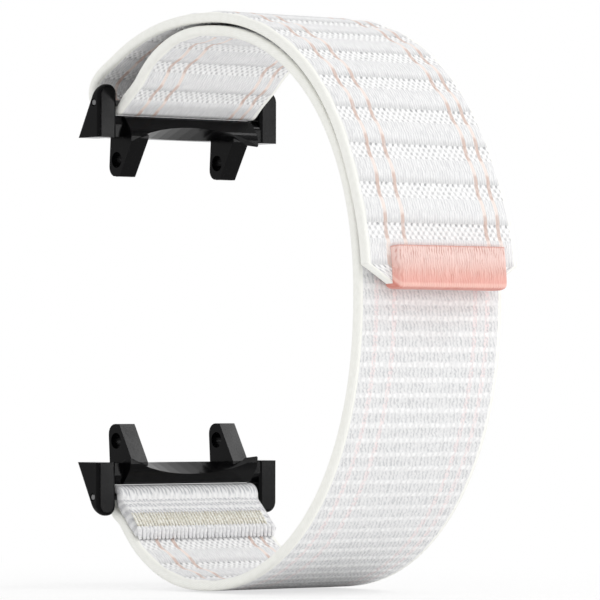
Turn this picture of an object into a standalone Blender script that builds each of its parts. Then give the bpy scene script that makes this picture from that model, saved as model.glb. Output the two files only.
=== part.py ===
"""Hook-and-loop nylon watch strap: a woven band closed on itself, with an adapter at each end.

Metres, +Z up. The strap is seen from its near edge as it is worn upright: +X is the clasp side,
-X the side where the watch goes, and Y runs across the strap. The origin is the middle of the
wrist opening, level with the middle of the watch.
"""

import math

import bmesh
import bpy
from mathutils import Matrix, Vector
from mathutils.geometry import interpolate_bezier

# Webbing
WEB_WIDTH = 0.0218
WEB_THICKNESS = 0.00115
PRESSED_THICKNESS = 0.0009
PRESS_FADE = 0.0022
PAD_HEIGHT = 0.0003
ROW_PITCH = 0.00483
ROW_WIDTH = 0.0016
SELVEDGE_WIDTH = 0.0011
PAD_FLANK = 0.0005
CORNER_ROUND = 0.0003
EAR_PINCH = 0.00025
PINCH_REACH = 0.003
PINCH_FADE = 0.006

# Wrist opening, measured to the face that lies on the wrist
OPENING_CENTRE_X = -0.003
OPENING_CLASP_REACH = 0.0273
OPENING_TOP = 0.0305
OPENING_BOTTOM = 0.0327
OPENING_TOP_LEFT_REACH = 0.0193
OPENING_BOTTOM_LEFT_REACH = 0.0222
OPENING_POWER = 2.15
RUN_TOP_LEAVE_ANGLE = 124.0
RUN_BOTTOM_LEAVE_ANGLE = -128.0
RUN_MEETS_BAR_ANGLE = -44.0

# Watch and bars
WATCH_LENGTH = 0.0384
BAR_TO_WATCH = 0.0041
BAR_X = -0.0193
BAR_RADIUS = 0.0004
BAR_SIDES = 16
BAR_HOLE_CLEARANCE = 0.00005
WRAP_CLEARANCE = 0.0001
WEB_TO_CROSSBAR = 0.00005

# Folded end at the lower bar
RETURN_LENGTH = 0.0067
RETURN_CLEARANCE = 0.00012
RETURN_BEND_ANGLE = -8.0
SEAM_LENGTH = 0.0026
SEAM_HEIGHT = 0.00025
SEAM_SIDE_INSET = 0.0011
SEAM_END_INSET = 0.0002
SEAM_RIDGES = 5
SEAM_CLEARANCE = 0.00003

# Free end, which folds round the upper bar and comes back over the outside
FLAP_LAYER_GAP = 0.00035
FLAP_LEFT_REACH = 0.0315
FLAP_START_ANGLE = 120.0
FLAP_BULGE_X = -0.02415
FLAP_BULGE_RISE = 0.0012
FLAP_LEAVES_BAR_ANGLE = -105.0
FLAP_CROWN_ANGLE = 90.0
FLAP_SHOULDER_ANGLE = 55.0
FLAP_SIDE_ANGLE = 26.0
FLAP_END_ANGLE = 1.95
HINGE_GAP = 0.0003
LAST_ROW_TO_END = 0.006
CUT_CORNER_LENGTH = 0.0016
CUT_CORNER_WIDTH = 0.0022

# Hook patch and end tab
HOOK_THICKNESS = 0.0002
HOOK_START_SHARE = 0.08
HOOK_SIDE_INSET = 0.0014
HOOK_CLEARANCE = 0.00004
TAB_LENGTH = 0.0042
TAB_WIDTH = 0.0172
TAB_SKIN = 0.001
TAB_BACK_SKIN = 0.00055
TAB_NOSE = 0.0006
TAB_CLEARANCE = 0.00006
TAB_LIFT = 0.00065
TAB_LIFT_LENGTH = 0.014
TAB_FADE = 0.0004

# Adapter body. Heights are above the face that meets the watch.
EAR_THICKNESS = 0.00272
EAR_SIDE_CLEARANCE = 0.00008
EAR_TOP_ABOVE_BAR = 0.0022
EAR_TIP_OUTER_ROUND = 0.0013
EAR_TIP_INNER_ROUND = 0.0011
EAR_FRONT_TO_BAR = 0.00105
EAR_BACK_TO_BAR = 0.0008
EAR_FRONT_ROUND = 0.0004
EAR_BACK_ROUND = 0.0002
FOOT_DEPTH = 0.00405
CROSSBAR_INSET = 0.0001
CROSSBAR_LEDGE_HEIGHT = 0.00175
CROSSBAR_LEDGE_ROUND = 0.0002
CROSSBAR_TOP_RECESS = 0.0008
CROSSBAR_BACK_HEIGHT = 0.0010
CROSSBAR_BACK_RUN = 0.0006
BOSS_PROUD = 0.00115
BOSS_END_INSET = 0.00125
BOSS_FRONT_HEIGHT = 0.0007
BOSS_FRONT_ROUND = 0.0005
BOSS_TOP_RECESS = 0.0002
BOSS_TOP_DROP = 0.0001
BOSS_TOP_ROUND = 0.00025
BOSS_END_ROUND = 0.00045
BOSS_LIP_DROP = 0.0006
BOSS_LIP_DEPTH = 0.0012
BOSS_LIP_ROUND = 0.0002
SCOOP_RADIUS = 0.025
SCOOP_PEAK_HEIGHT = 0.0017
SCOOP_RUN = 0.0040
CUT_OVERRUN = 0.002
WELD_OVERLAP = 0.0005

# Lug arms, which reach down into the watch
ARM_TO_EAR = 0.00213
ARM_THICKNESS = 0.00235
ARM_LENGTH = 0.0045
ARM_BACK_INSET = 0.00004
ARM_BACK_SPLAY = 0.0003
ARM_ROOT_DEPTH = 0.0044
ARM_TIP_DEPTH = 0.0021
ARM_ROOT_RISE = 0.0012
ARM_BACK_RISE = 0.0003
ARM_EDGE_ROUND = 0.00022
ARM_TIP_BACK_ROUND = 0.0013
ARM_TIP_FRONT_ROUND = 0.00035
ARM_HOLE_RADIUS = 0.00095
ARM_HOLE_DROP = 0.0025
ARM_HOLE_FROM_BACK = 0.0012

HALF_WEB = WEB_WIDTH / 2
BAR_Z = WATCH_LENGTH / 2 + BAR_TO_WATCH
BAR_LAND = BAR_RADIUS + WRAP_CLEARANCE
WRAP_RADIUS = BAR_LAND + PRESSED_THICKNESS
FLAP_STANDOFF = 2 * WEB_THICKNESS + FLAP_LAYER_GAP
EAR_INNER = HALF_WEB + EAR_SIDE_CLEARANCE
EAR_OUTER = EAR_INNER + EAR_THICKNESS

CURVE_STEPS = 90
TURN_STEPS = 12
LOOSEST_TURN = 0.21
HALF_FADE_SHARE = 0.5
HANDLE_SHARE = 0.38
MEETS_RUN_SHARE = 0.62
RIDGE_DIP_SHARE = 0.6
NOSE_STEPS = 8
NOSE_POWER = 3.0
FACING_ALONG = 0.99


def polar(centre_x, centre_z, radius, degrees):
    angle = math.radians(degrees)
    return Vector((centre_x + radius * math.cos(angle), centre_z + radius * math.sin(angle)))


def rounded_power(value, power):
    return math.copysign(abs(value) ** (2 / power), value)


def opening_point(degrees):
    """Point of the face that lies on the wrist, at an angle round the opening."""
    angle = math.radians(degrees)
    across, up = math.cos(angle), math.sin(angle)
    if across >= 0:
        reach = OPENING_CLASP_REACH
    else:
        reach = OPENING_TOP_LEFT_REACH if up >= 0 else OPENING_BOTTOM_LEFT_REACH
    height = OPENING_TOP if up >= 0 else OPENING_BOTTOM
    return Vector((
        OPENING_CENTRE_X + reach * rounded_power(across, OPENING_POWER),
        height * rounded_power(up, OPENING_POWER),
    ))


def flap_left_point(degrees):
    """Outer face of the free end, from where it leaves the bar to the top of the strap."""
    angle = math.radians(degrees)
    return Vector((
        OPENING_CENTRE_X + FLAP_LEFT_REACH * rounded_power(math.cos(angle), OPENING_POWER),
        (OPENING_TOP + FLAP_STANDOFF) * rounded_power(math.sin(angle), OPENING_POWER),
    ))


def sweep(function, start, end, steps=CURVE_STEPS):
    return [function(start + (end - start) * i / steps) for i in range(steps + 1)]


def heading(points, index):
    before, after = max(index - 1, 0), min(index + 1, len(points) - 1)
    return (points[after] - points[before]).normalized()


def right_of(direction):
    return Vector((direction.y, -direction.x))


def shifted(points, distance):
    """The same line moved to the right of its travel, by a distance or a function of the index."""
    moved = []
    for i, point in enumerate(points):
        step = distance(i / (len(points) - 1)) if callable(distance) else distance
        moved.append(point + right_of(heading(points, i)) * step)
    return moved


def bend(start, start_heading, end, end_heading):
    """Smooth link between two ends, with handles a third of the gap long."""
    reach = (end - start).length * HANDLE_SHARE
    return interpolate_bezier(
        start, start + start_heading * reach, end - end_heading * reach, end, CURVE_STEPS // 2
    )


def smooth_step(value):
    value = min(max(value, 0), 1)
    return value * value * (3 - 2 * value)


class Line:
    """A plane curve as close points, with its length measured along them."""

    def __init__(self):
        self.points = []
        self.marks = {}

    def add(self, points, mark=None):
        if self.points:
            points = points[1:]
        self.points += points
        self.lengths = [0.0]
        for a, b in zip(self.points, self.points[1:]):
            self.lengths.append(self.lengths[-1] + (b - a).length)
        if mark:
            self.marks[mark] = self.lengths[-1]

    def at(self, length):
        """Place and heading at a length along the line."""
        last = len(self.points) - 2
        i = next((k for k in range(last) if self.lengths[k + 1] > length), last)
        span = self.lengths[i + 1] - self.lengths[i]
        share = (length - self.lengths[i]) / span
        near, far = heading(self.points, i), heading(self.points, i + 1)
        place = self.points[i].lerp(self.points[i + 1], share)
        return place, near.lerp(far, share).normalized()

    def stations(self, start, end, wanted):
        """Lengths for cross sections: the ends, the wanted ones, and more where the line turns."""
        fixed = sorted({start, end} | {s for s in wanted if start < s < end})
        found = [start]
        for a, b in zip(fixed, fixed[1:]):
            turn = self.at(a)[1].angle(self.at(b)[1])
            parts = max(1, math.ceil(turn / LOOSEST_TURN))
            found += [a + (b - a) * k / parts for k in range(1, parts + 1)]
        return found


def inner_run():
    """Wrist side of the run from the lower bar to the upper one, without the folded end."""
    line = Line()
    start = Vector((BAR_X - BAR_LAND, -BAR_Z))
    run = sweep(opening_point, RUN_BOTTOM_LEAVE_ANGLE, RUN_TOP_LEAVE_ANGLE, 3 * CURVE_STEPS)
    line.add(bend(start, Vector((0, -1)), run[0], heading(run, 0)))
    line.add(run)
    return line


def folded_end(run):
    """From the sewn end up to the lower bar and over it, on the side that faces the bar."""
    doubled = []
    for k in range(TURN_STEPS + 1):
        share = 1 - (1 - MEETS_RUN_SHARE) * k / TURN_STEPS
        place, direction = run.at(RETURN_LENGTH * share)
        doubled.append(place - right_of(direction) * RETURN_CLEARANCE)
    turn = sweep(lambda a: polar(BAR_X, -BAR_Z, BAR_LAND, a), RETURN_BEND_ANGLE, 180, 2 * TURN_STEPS)
    link = bend(doubled[-1], heading(doubled, TURN_STEPS), turn[0], heading(turn, 0))
    return doubled, link, turn


def band_line():
    """One face of the whole band, from its sewn end to its free end.

    The face looks at the lower bar, then lies on the wrist, and is on the outside once the band
    has turned round the upper bar. The webbing is to the right of the line.
    """
    line = Line()
    run = inner_run()
    doubled, link, turn = folded_end(run)
    line.add(doubled)
    line.add(link, "lower_turn")
    line.add(turn, "lower_bar")
    line.add(run.points)
    turn = sweep(
        lambda a: polar(BAR_X, BAR_Z, WRAP_RADIUS, a),
        RUN_MEETS_BAR_ANGLE,
        FLAP_LEAVES_BAR_ANGLE,
        TURN_STEPS,
    )
    last = len(run.points) - 1
    line.add(bend(run.points[-1], heading(run.points, last), turn[0], heading(turn, 0)), "upper_bar")
    line.add(turn, "upper_turn")
    crown = sweep(flap_left_point, FLAP_START_ANGLE, FLAP_CROWN_ANGLE)
    bulge = Vector((FLAP_BULGE_X, BAR_Z + FLAP_BULGE_RISE))
    line.add(bend(turn[-1], heading(turn, TURN_STEPS), bulge, Vector((0, 1))))
    line.add(bend(bulge, Vector((0, 1)), crown[0], heading(crown, 0)), "flap_root")
    line.add(crown, "flap_crown")
    for mark, start_angle, end_angle in (
        ("flap_shoulder", FLAP_CROWN_ANGLE, FLAP_SHOULDER_ANGLE),
        ("flap_side", FLAP_SHOULDER_ANGLE, FLAP_SIDE_ANGLE),
    ):
        inner = sweep(opening_point, start_angle, end_angle)
        line.add(shifted(inner, -FLAP_STANDOFF), mark)
    inner = sweep(opening_point, FLAP_SIDE_ANGLE, FLAP_END_ANGLE)
    length = sum((b - a).length for a, b in zip(inner, inner[1:]))

    def lifted(share):
        return -FLAP_STANDOFF - TAB_LIFT * smooth_step(1 - (1 - share) * length / TAB_LIFT_LENGTH)

    line.add(shifted(inner, lifted), "flap_end")
    return line


BAND = band_line()


def nearness(length, start, end, fade):
    """1 within a stretch of the band, and down to 0 over the fade on each side of it."""
    return 1 - smooth_step(max(start - length, length - end, 0) / fade)


def pressed(length):
    """How far the webbing is squeezed: fully where it turns on a bar."""
    return max(
        nearness(length, BAND.marks["lower_turn"], BAND.marks["lower_bar"], PRESS_FADE),
        nearness(length, BAND.marks["upper_bar"], BAND.marks["upper_turn"], PRESS_FADE),
    )


def flattened(length):
    """How far the padding is flat: fully at the bars, in the sewn fold and under the end tab."""
    return max(
        pressed(length),
        nearness(length, 0, BAND.marks["lower_bar"] + RETURN_LENGTH, TAB_FADE),
        nearness(length, BAND.marks["flap_end"] - TAB_LENGTH, BAND.marks["flap_end"], TAB_FADE),
    )


def thickness_at(length):
    return WEB_THICKNESS + (PRESSED_THICKNESS - WEB_THICKNESS) * pressed(length)


def section_marks():
    """Where each sewn row starts and ends, each pad is fullest, and each squeeze starts and ends."""
    marks = []
    centre = BAND.marks["flap_end"] - LAST_ROW_TO_END
    pad = ROW_PITCH - ROW_WIDTH
    while centre > 0:
        low = centre + ROW_WIDTH / 2
        marks += [centre - ROW_WIDTH / 2, low, low + pad / 3, low + pad * 2 / 3]
        centre -= ROW_PITCH
    for mark in ("lower_turn", "lower_bar", "upper_bar", "upper_turn"):
        for shares in (-1, -HALF_FADE_SHARE, 0, HALF_FADE_SHARE, 1):
            marks.append(BAND.marks[mark] + shares * PRESS_FADE)
    marks.append(BAND.marks["flap_end"] - CUT_CORNER_LENGTH)
    return marks


SECTION_MARKS = section_marks()


def pad_rise(length):
    """Height of the padding over the sewn rows at a length along the band."""
    offset = (length - BAND.marks["flap_end"] + LAST_ROW_TO_END + ROW_WIDTH / 2) % ROW_PITCH
    if offset <= ROW_WIDTH:
        return 0.0
    share = (offset - ROW_WIDTH) / (ROW_PITCH - ROW_WIDTH)
    return PAD_HEIGHT * math.sin(math.pi * share) * (1 - flattened(length))


def half_width(length):
    """Half the width: the band narrows between the ears and has cut corners at its free end."""
    left = BAND.marks["flap_end"] - length
    cut = max(0.0, 1 - left / CUT_CORNER_LENGTH)
    pinch = max(
        nearness(length, 0, BAND.marks["lower_bar"] + PINCH_REACH, PINCH_FADE),
        nearness(length, BAND.marks["upper_bar"] - PINCH_REACH, BAND.marks["upper_turn"], PINCH_FADE),
    )
    return HALF_WEB - EAR_PINCH * pinch - CUT_CORNER_WIDTH * cut


def web_ring(place, direction, half, thickness, rise):
    """Cross section of webbing: a padded face between two selvedges, and a plain back."""
    right = right_of(direction)
    pad_edge = half - SELVEDGE_WIDTH
    corner = CORNER_ROUND
    outline = (
        (-half, corner), (-half + corner, 0), (-pad_edge, 0), (-pad_edge + PAD_FLANK, -rise),
        (pad_edge - PAD_FLANK, -rise), (pad_edge, 0), (half - corner, 0), (half, corner),
        (half, thickness - corner), (half - corner, thickness),
        (-half + corner, thickness), (-half, thickness - corner),
    )
    return [Vector((place.x + right.x * d, y, place.y + right.y * d)) for y, d in outline]


def loft(name, rings, material):
    """One closed solid through a row of cross sections, made by extruding the first along them."""
    bm = bmesh.new()
    order = bm.verts.layers.int.new("order")
    first = [bm.verts.new(point) for point in rings[0]]
    for i, vert in enumerate(first):
        vert[order] = i
    cap = bm.faces.new(first)
    for ring in rings[1:]:
        made = bmesh.ops.extrude_face_region(bm, geom=[cap, *cap.edges, *cap.verts])["geom"]
        cap = next(item for item in made if isinstance(item, bmesh.types.BMFace))
        for vert in cap.verts:
            vert.co = ring[vert[order]]
    bmesh.ops.recalc_face_normals(bm, faces=bm.faces[:])
    return finish(name, bm, material)


def finish(name, bm, material, smooth_angle=40):
    mesh = bpy.data.meshes.new(name)
    bm.to_mesh(mesh)
    bm.free()
    mesh.shade_smooth()
    mesh.set_sharp_from_angle(angle=math.radians(smooth_angle))
    piece = bpy.data.objects.new(name, mesh)
    bpy.context.scene.collection.objects.link(piece)
    if material:
        mesh.materials.append(material)
    return piece


def strip_ring(place, direction, half, near, far):
    """Cross section of a flat strip, between two depths to the right of the line."""
    right = right_of(direction)
    outline = ((-half, near), (half, near), (half, far), (-half, far))
    return [Vector((place.x + right.x * d, y, place.y + right.y * d)) for y, d in outline]


def band_piece(name, start, end, material):
    rings = []
    for s in BAND.stations(start, end, SECTION_MARKS):
        place, direction = BAND.at(s)
        rings.append(web_ring(place, direction, half_width(s), thickness_at(s), pad_rise(s)))
    return loft(name, rings, material)


def seam_thread(material):
    """Stitching that holds the folded end down, ridged across the band."""
    start = SEAM_END_INSET
    end = start + SEAM_LENGTH
    half = HALF_WEB - SEAM_SIDE_INSET
    near = WEB_THICKNESS + SEAM_CLEARANCE
    ridge = SEAM_LENGTH / (2 * SEAM_RIDGES)
    rings = []
    for k in range(2 * SEAM_RIDGES + 1):
        place, direction = BAND.at(start + k * ridge)
        height = SEAM_HEIGHT * (1 if k % 2 else RIDGE_DIP_SHARE)
        rings.append(strip_ring(place, direction, half, near, near + height))
    loft("seam_thread", rings, material)


def flap_pieces(material):
    """The free end in four stretches. Each is hinged at its outer face to the one before."""
    names = ("flap_crown", "flap_shoulder", "flap_side", "flap_tail")
    marks = ("flap_root", "flap_crown", "flap_shoulder", "flap_side", "flap_end")
    for name, first, last in zip(names, marks, marks[1:]):
        start = BAND.marks[first] + HINGE_GAP / 2
        end = BAND.marks[last] - (0 if last == "flap_end" else HINGE_GAP / 2)
        put_on_hinge(band_piece(name, start, end, material), first)


def put_on_hinge(piece, mark):
    """Moves the object's origin to a point of the band's outer face, with the shape left in place."""
    hinge = BAND.at(BAND.marks[mark])[0]
    piece.data.transform(Matrix.Translation((-hinge.x, 0, -hinge.y)))
    piece.location = (hinge.x, 0, hinge.y)


def hook_patch(material):
    """Hooks sewn under the free end. They face the loops on the outside of the run below."""
    first = BAND.marks["flap_side"]
    end = BAND.marks["flap_end"] - TAB_LENGTH - HINGE_GAP
    start = first + (end - first) * HOOK_START_SHARE
    near = WEB_THICKNESS + HOOK_CLEARANCE
    rings = []
    for s in BAND.stations(start, end, []):
        rings.append(strip_ring(*BAND.at(s), HALF_WEB - HOOK_SIDE_INSET, near, near + HOOK_THICKNESS))
    put_on_hinge(loft("hook_patch", rings, material), "flap_side")


def end_tab(material):
    """Thread wrapped over the end of the band: a front, a back and a rounded end."""
    end = BAND.marks["flap_end"]
    frames = [BAND.at(end - TAB_LENGTH * (1 - k / TURN_STEPS)) for k in range(TURN_STEPS + 1)]
    front = -TAB_CLEARANCE
    back = WEB_THICKNESS + TAB_CLEARANCE
    place, direction = frames[-1]
    right = right_of(direction)
    inner_end = place + direction * TAB_CLEARANCE
    middle = (front - TAB_SKIN + back + TAB_BACK_SKIN) / 2
    half = (back + TAB_BACK_SKIN - front + TAB_SKIN) / 2
    outline = [p + right_of(d) * (front - TAB_SKIN) for p, d in frames]
    for k in range(1, NOSE_STEPS):
        angle = math.pi * k / NOSE_STEPS
        depth = middle - half * rounded_power(math.cos(angle), NOSE_POWER)
        out = TAB_NOSE * rounded_power(math.sin(angle), NOSE_POWER)
        outline.append(inner_end + right * depth + direction * out)
    outline += [p + right_of(d) * (back + TAB_BACK_SKIN) for p, d in reversed(frames)]
    outline += [p + right_of(d) * back for p, d in frames[:-1]]
    outline += [inner_end + right * back, inner_end + right * front]
    outline += [p + right_of(d) * front for p, d in reversed(frames[:-1])]
    half_width = TAB_WIDTH / 2
    tab = block([(p.x, p.y) for p in outline], -half_width, half_width)
    put_on_hinge(finish("end_tab", tab, material), "flap_side")


def block(outline, low_y, high_y, rounds=()):
    """Prism along Y from an outline in X and Z. Rounds lists (corner, radius, segments)."""
    bm = bmesh.new()
    corner = bm.verts.layers.int.new("corner")
    verts = [bm.verts.new((x, low_y, z)) for x, z in outline]
    for i, vert in enumerate(verts):
        vert[corner] = i
    made = bmesh.ops.extrude_face_region(bm, geom=[bm.faces.new(verts)])["geom"]
    moved = [item for item in made if isinstance(item, bmesh.types.BMVert)]
    bmesh.ops.translate(bm, verts=moved, vec=(0, high_y - low_y, 0))
    bmesh.ops.recalc_face_normals(bm, faces=bm.faces[:])
    for wanted, radius, segments in rounds:
        edges = [e for e in bm.edges if e.verts[0][corner] == e.verts[1][corner] == wanted]
        round_edges(bm, edges, radius, segments)
    return bm


def round_edges(bm, edges, radius, segments):
    bmesh.ops.bevel(bm, geom=edges, offset=radius, segments=segments, profile=0.5,
                    affect="EDGES", clamp_overlap=True, material=-1)


def soften_faces(bm, facing, radius, segments=2, above=None):
    """Rounds the edges of the faces that look one way, all of them or those above a height."""
    bm.normal_update()
    faces = [f for f in bm.faces if f.normal.dot(facing) > FACING_ALONG]
    edges = {e for f in faces for e in f.edges}
    if above is not None:
        edges = {e for e in edges if max(v.co.z for v in e.verts) > above + radius}
    round_edges(bm, list(edges), radius, segments)


def helper(name, bm):
    piece = finish(name, bm, None)
    piece.hide_render = True
    piece.display_type = "WIRE"
    return piece


def cylinder(name, radius, low, high, sides):
    """Helper cylinder between two points."""
    bm = bmesh.new()
    axis = high - low
    turn = axis.to_track_quat("Z", "Y").to_matrix().to_4x4()
    bmesh.ops.create_cone(bm, cap_ends=True, segments=sides, radius1=radius, radius2=radius,
                          depth=axis.length, matrix=Matrix.Translation((low + high) / 2) @ turn)
    return helper(name, bm)


def ear_block(side, front, back_foot, foot):
    """Ear: thumb-shaped from the front, with a back that slopes from the foot to the tip."""
    inner, outer = side * EAR_INNER, side * EAR_OUTER
    ear = block((
        (inner, foot), (outer, foot), (outer, EAR_TOP_ABOVE_BAR), (inner, EAR_TOP_ABOVE_BAR),
    ), -front, WELD_OVERLAP - back_foot,
        rounds=((2, EAR_TIP_OUTER_ROUND, 6), (3, EAR_TIP_INNER_ROUND, 5)))
    bmesh.ops.rotate(ear, verts=ear.verts[:], matrix=Matrix.Rotation(math.radians(90), 3, "Z"))
    low, high = Vector((back_foot, 0, foot)), Vector((-EAR_BACK_TO_BAR, 0, 0))
    outward = (high - low).cross(Vector((0, 1, 0)))
    whole = ear.verts[:] + ear.edges[:] + ear.faces[:]
    bmesh.ops.bisect_plane(ear, geom=whole, plane_co=low, plane_no=outward, clear_outer=True)
    bmesh.ops.holes_fill(ear, edges=[e for e in ear.edges if e.is_boundary])
    bmesh.ops.recalc_face_normals(ear, faces=ear.faces[:])
    soften_faces(ear, Vector((1, 0, 0)), EAR_FRONT_ROUND, 3, foot)
    soften_faces(ear, outward.normalized(), EAR_BACK_ROUND, 2, foot)
    return ear


def adapter_mesh():
    """Moulded adapter in its own frame: the bar's axis is the origin and the watch is below."""
    foot = -BAR_TO_WATCH
    front = EAR_FRONT_TO_BAR
    back_foot = front - FOOT_DEPTH
    crossbar_top = -(WRAP_RADIUS + WEB_TO_CROSSBAR)
    back = back_foot + CROSSBAR_INSET
    crossbar = block((
        (back, foot + CROSSBAR_INSET), (front - CROSSBAR_INSET, foot + CROSSBAR_INSET),
        (front - CROSSBAR_INSET, foot + CROSSBAR_LEDGE_HEIGHT),
        (front - CROSSBAR_TOP_RECESS, crossbar_top), (-EAR_BACK_TO_BAR, crossbar_top),
        (back + CROSSBAR_BACK_RUN, foot + CROSSBAR_BACK_HEIGHT),
    ), -EAR_INNER - WELD_OVERLAP, EAR_INNER + WELD_OVERLAP, rounds=((2, CROSSBAR_LEDGE_ROUND, 2),))
    body = finish("adapter", crossbar, None)

    boss_front = front + BOSS_PROUD
    boss_half = EAR_INNER - BOSS_END_INSET
    boss_top = crossbar_top - BOSS_TOP_DROP
    boss = block((
        (-WELD_OVERLAP, foot + WELD_OVERLAP), (boss_front - BOSS_LIP_DEPTH, foot - BOSS_LIP_DROP / 2),
        (boss_front, foot - BOSS_LIP_DROP), (boss_front, foot + BOSS_FRONT_HEIGHT),
        (front - BOSS_TOP_RECESS, boss_top), (-WELD_OVERLAP, boss_top),
    ), -boss_half, boss_half,
        rounds=((2, BOSS_LIP_ROUND, 2), (3, BOSS_FRONT_ROUND, 3), (4, BOSS_TOP_ROUND, 2)))
    soften_faces(boss, Vector((0, 1, 0)), BOSS_END_ROUND, 3, foot)
    soften_faces(boss, Vector((0, -1, 0)), BOSS_END_ROUND, 3, foot)
    parts = [(helper("boss", boss), "UNION")]

    slope = math.atan2(SCOOP_PEAK_HEIGHT, SCOOP_RUN)
    peak = Vector((boss_front, 0, foot + SCOOP_PEAK_HEIGHT))
    along = Vector((math.cos(slope), 0, math.sin(slope)))
    drop = Vector((math.sin(slope), 0, -math.cos(slope))) * SCOOP_RADIUS
    scoop = cylinder("scoop", SCOOP_RADIUS, peak + drop - along * SCOOP_RUN * 2,
                     peak + drop + along * CUT_OVERRUN, 96)
    parts.append((scoop, "DIFFERENCE"))

    for side in (-1, 1):
        parts.append((helper("ear", ear_block(side, front, back_foot, foot)), "UNION"))

        middle = side * (EAR_INNER - ARM_TO_EAR - ARM_THICKNESS / 2)
        low, high = middle - ARM_THICKNESS / 2, middle + ARM_THICKNESS / 2
        arm_back = back_foot + ARM_BACK_INSET
        tip_back = arm_back - ARM_BACK_SPLAY
        tip = foot - ARM_LENGTH
        arm = block((
            (arm_back, foot + ARM_BACK_RISE), (tip_back, tip), (tip_back + ARM_TIP_DEPTH, tip),
            (arm_back + ARM_ROOT_DEPTH, foot), (arm_back + ARM_ROOT_DEPTH, foot + ARM_ROOT_RISE),
        ), low, high, rounds=((1, ARM_TIP_BACK_ROUND, 5), (2, ARM_TIP_FRONT_ROUND, 3)))
        soften_faces(arm, Vector((0, 1, 0)), ARM_EDGE_ROUND)
        soften_faces(arm, Vector((0, -1, 0)), ARM_EDGE_ROUND)
        parts.append((helper("arm", arm), "UNION"))
        hole = Vector((arm_back + ARM_HOLE_FROM_BACK, 0, foot - ARM_HOLE_DROP))
        reach = Vector((0, ARM_THICKNESS / 2 + CUT_OVERRUN, 0))
        centre = hole + Vector((0, middle, 0))
        arm_hole = cylinder("arm_hole", ARM_HOLE_RADIUS, centre - reach, centre + reach, 24)
        parts.append((arm_hole, "DIFFERENCE"))

    reach = Vector((0, EAR_OUTER + CUT_OVERRUN, 0))
    bar_hole = cylinder("bar_hole", BAR_RADIUS + BAR_HOLE_CLEARANCE, -reach, reach, BAR_SIDES)
    parts.append((bar_hole, "DIFFERENCE"))

    for piece, operation in parts:
        step = body.modifiers.new(piece.name, "BOOLEAN")
        step.object = piece
        step.operation = operation
        step.solver = "EXACT"
    graph = bpy.context.evaluated_depsgraph_get()
    mesh = bpy.data.meshes.new_from_object(body.evaluated_get(graph))
    mesh.name = "adapter"
    for piece in [body] + [piece for piece, _ in parts]:
        bpy.data.objects.remove(piece, do_unlink=True)
    mesh.shade_smooth()
    mesh.set_sharp_from_angle(angle=math.radians(32))
    return mesh


def bar_mesh(material):
    """Steel bar, a little short of the ears' outer faces, with a chamfer at each end."""
    bm = bmesh.new()
    turn = Matrix.Rotation(math.radians(90), 4, "X")
    bmesh.ops.create_cone(bm, cap_ends=True, segments=BAR_SIDES, radius1=BAR_RADIUS, radius2=BAR_RADIUS,
                          depth=2 * (EAR_OUTER - BAR_HOLE_CLEARANCE), matrix=turn)
    ends = [e for e in bm.edges if abs(e.verts[0].co.y - e.verts[1].co.y) < BAR_HOLE_CLEARANCE]
    bmesh.ops.bevel(bm, geom=ends, offset=BAR_RADIUS / 4, segments=1, profile=0.5,
                    affect="EDGES", clamp_overlap=True, material=-1)
    mesh = bpy.data.meshes.new("bar")
    bm.to_mesh(mesh)
    bm.free()
    mesh.shade_smooth()
    mesh.set_sharp_from_angle(angle=math.radians(30))
    mesh.materials.append(material)
    return mesh


def adapters(plastic, steel):
    """Both ends take the same moulding and bar. The lower pair is turned half round."""
    moulding = adapter_mesh()
    moulding.materials.clear()
    moulding.materials.append(plastic)
    bar = bar_mesh(steel)
    for name, side in (("upper", 1), ("lower", -1)):
        for kind, mesh in (("adapter", moulding), ("bar", bar)):
            piece = bpy.data.objects.new(f"{name}_{kind}", mesh)
            piece.location = (BAR_X, 0, side * BAR_Z)
            piece.rotation_euler = (0 if side > 0 else math.pi, 0, 0)
            bpy.context.scene.collection.objects.link(piece)


def material(name, colour, roughness, metallic=0.0):
    made = bpy.data.materials.new(name)
    made.use_nodes = True
    shader = made.node_tree.nodes["Principled BSDF"]
    shader.inputs["Base Color"].default_value = (*colour, 1)
    shader.inputs["Roughness"].default_value = roughness
    shader.inputs["Metallic"].default_value = metallic
    return made


def main():
    for piece in list(bpy.data.objects):
        bpy.data.objects.remove(piece, do_unlink=True)
    web = material("nylon_webbing", (0.82, 0.82, 0.84), 0.85)
    thread = material("seam_thread", (0.72, 0.66, 0.50), 0.8)
    hooks = material("hook_tape", (0.80, 0.80, 0.80), 0.6)
    coral = material("coral_thread", (0.88, 0.42, 0.34), 0.45)
    plastic = material("black_plastic", (0.02, 0.02, 0.02), 0.4)
    steel = material("steel", (0.55, 0.55, 0.56), 0.3, 1.0)
    band_piece("inner_run", 0, BAND.marks["upper_bar"] - HINGE_GAP / 2, web)
    band_piece("upper_fold", BAND.marks["upper_bar"] + HINGE_GAP / 2,
               BAND.marks["flap_root"] - HINGE_GAP / 2, web)
    seam_thread(thread)
    flap_pieces(web)
    hook_patch(hooks)
    end_tab(coral)
    adapters(plastic, steel)


main()
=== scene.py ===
import bisect
import math

import bmesh
import bpy
from mathutils import Matrix, Vector, noise
from mathutils.geometry import interpolate_bezier


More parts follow.
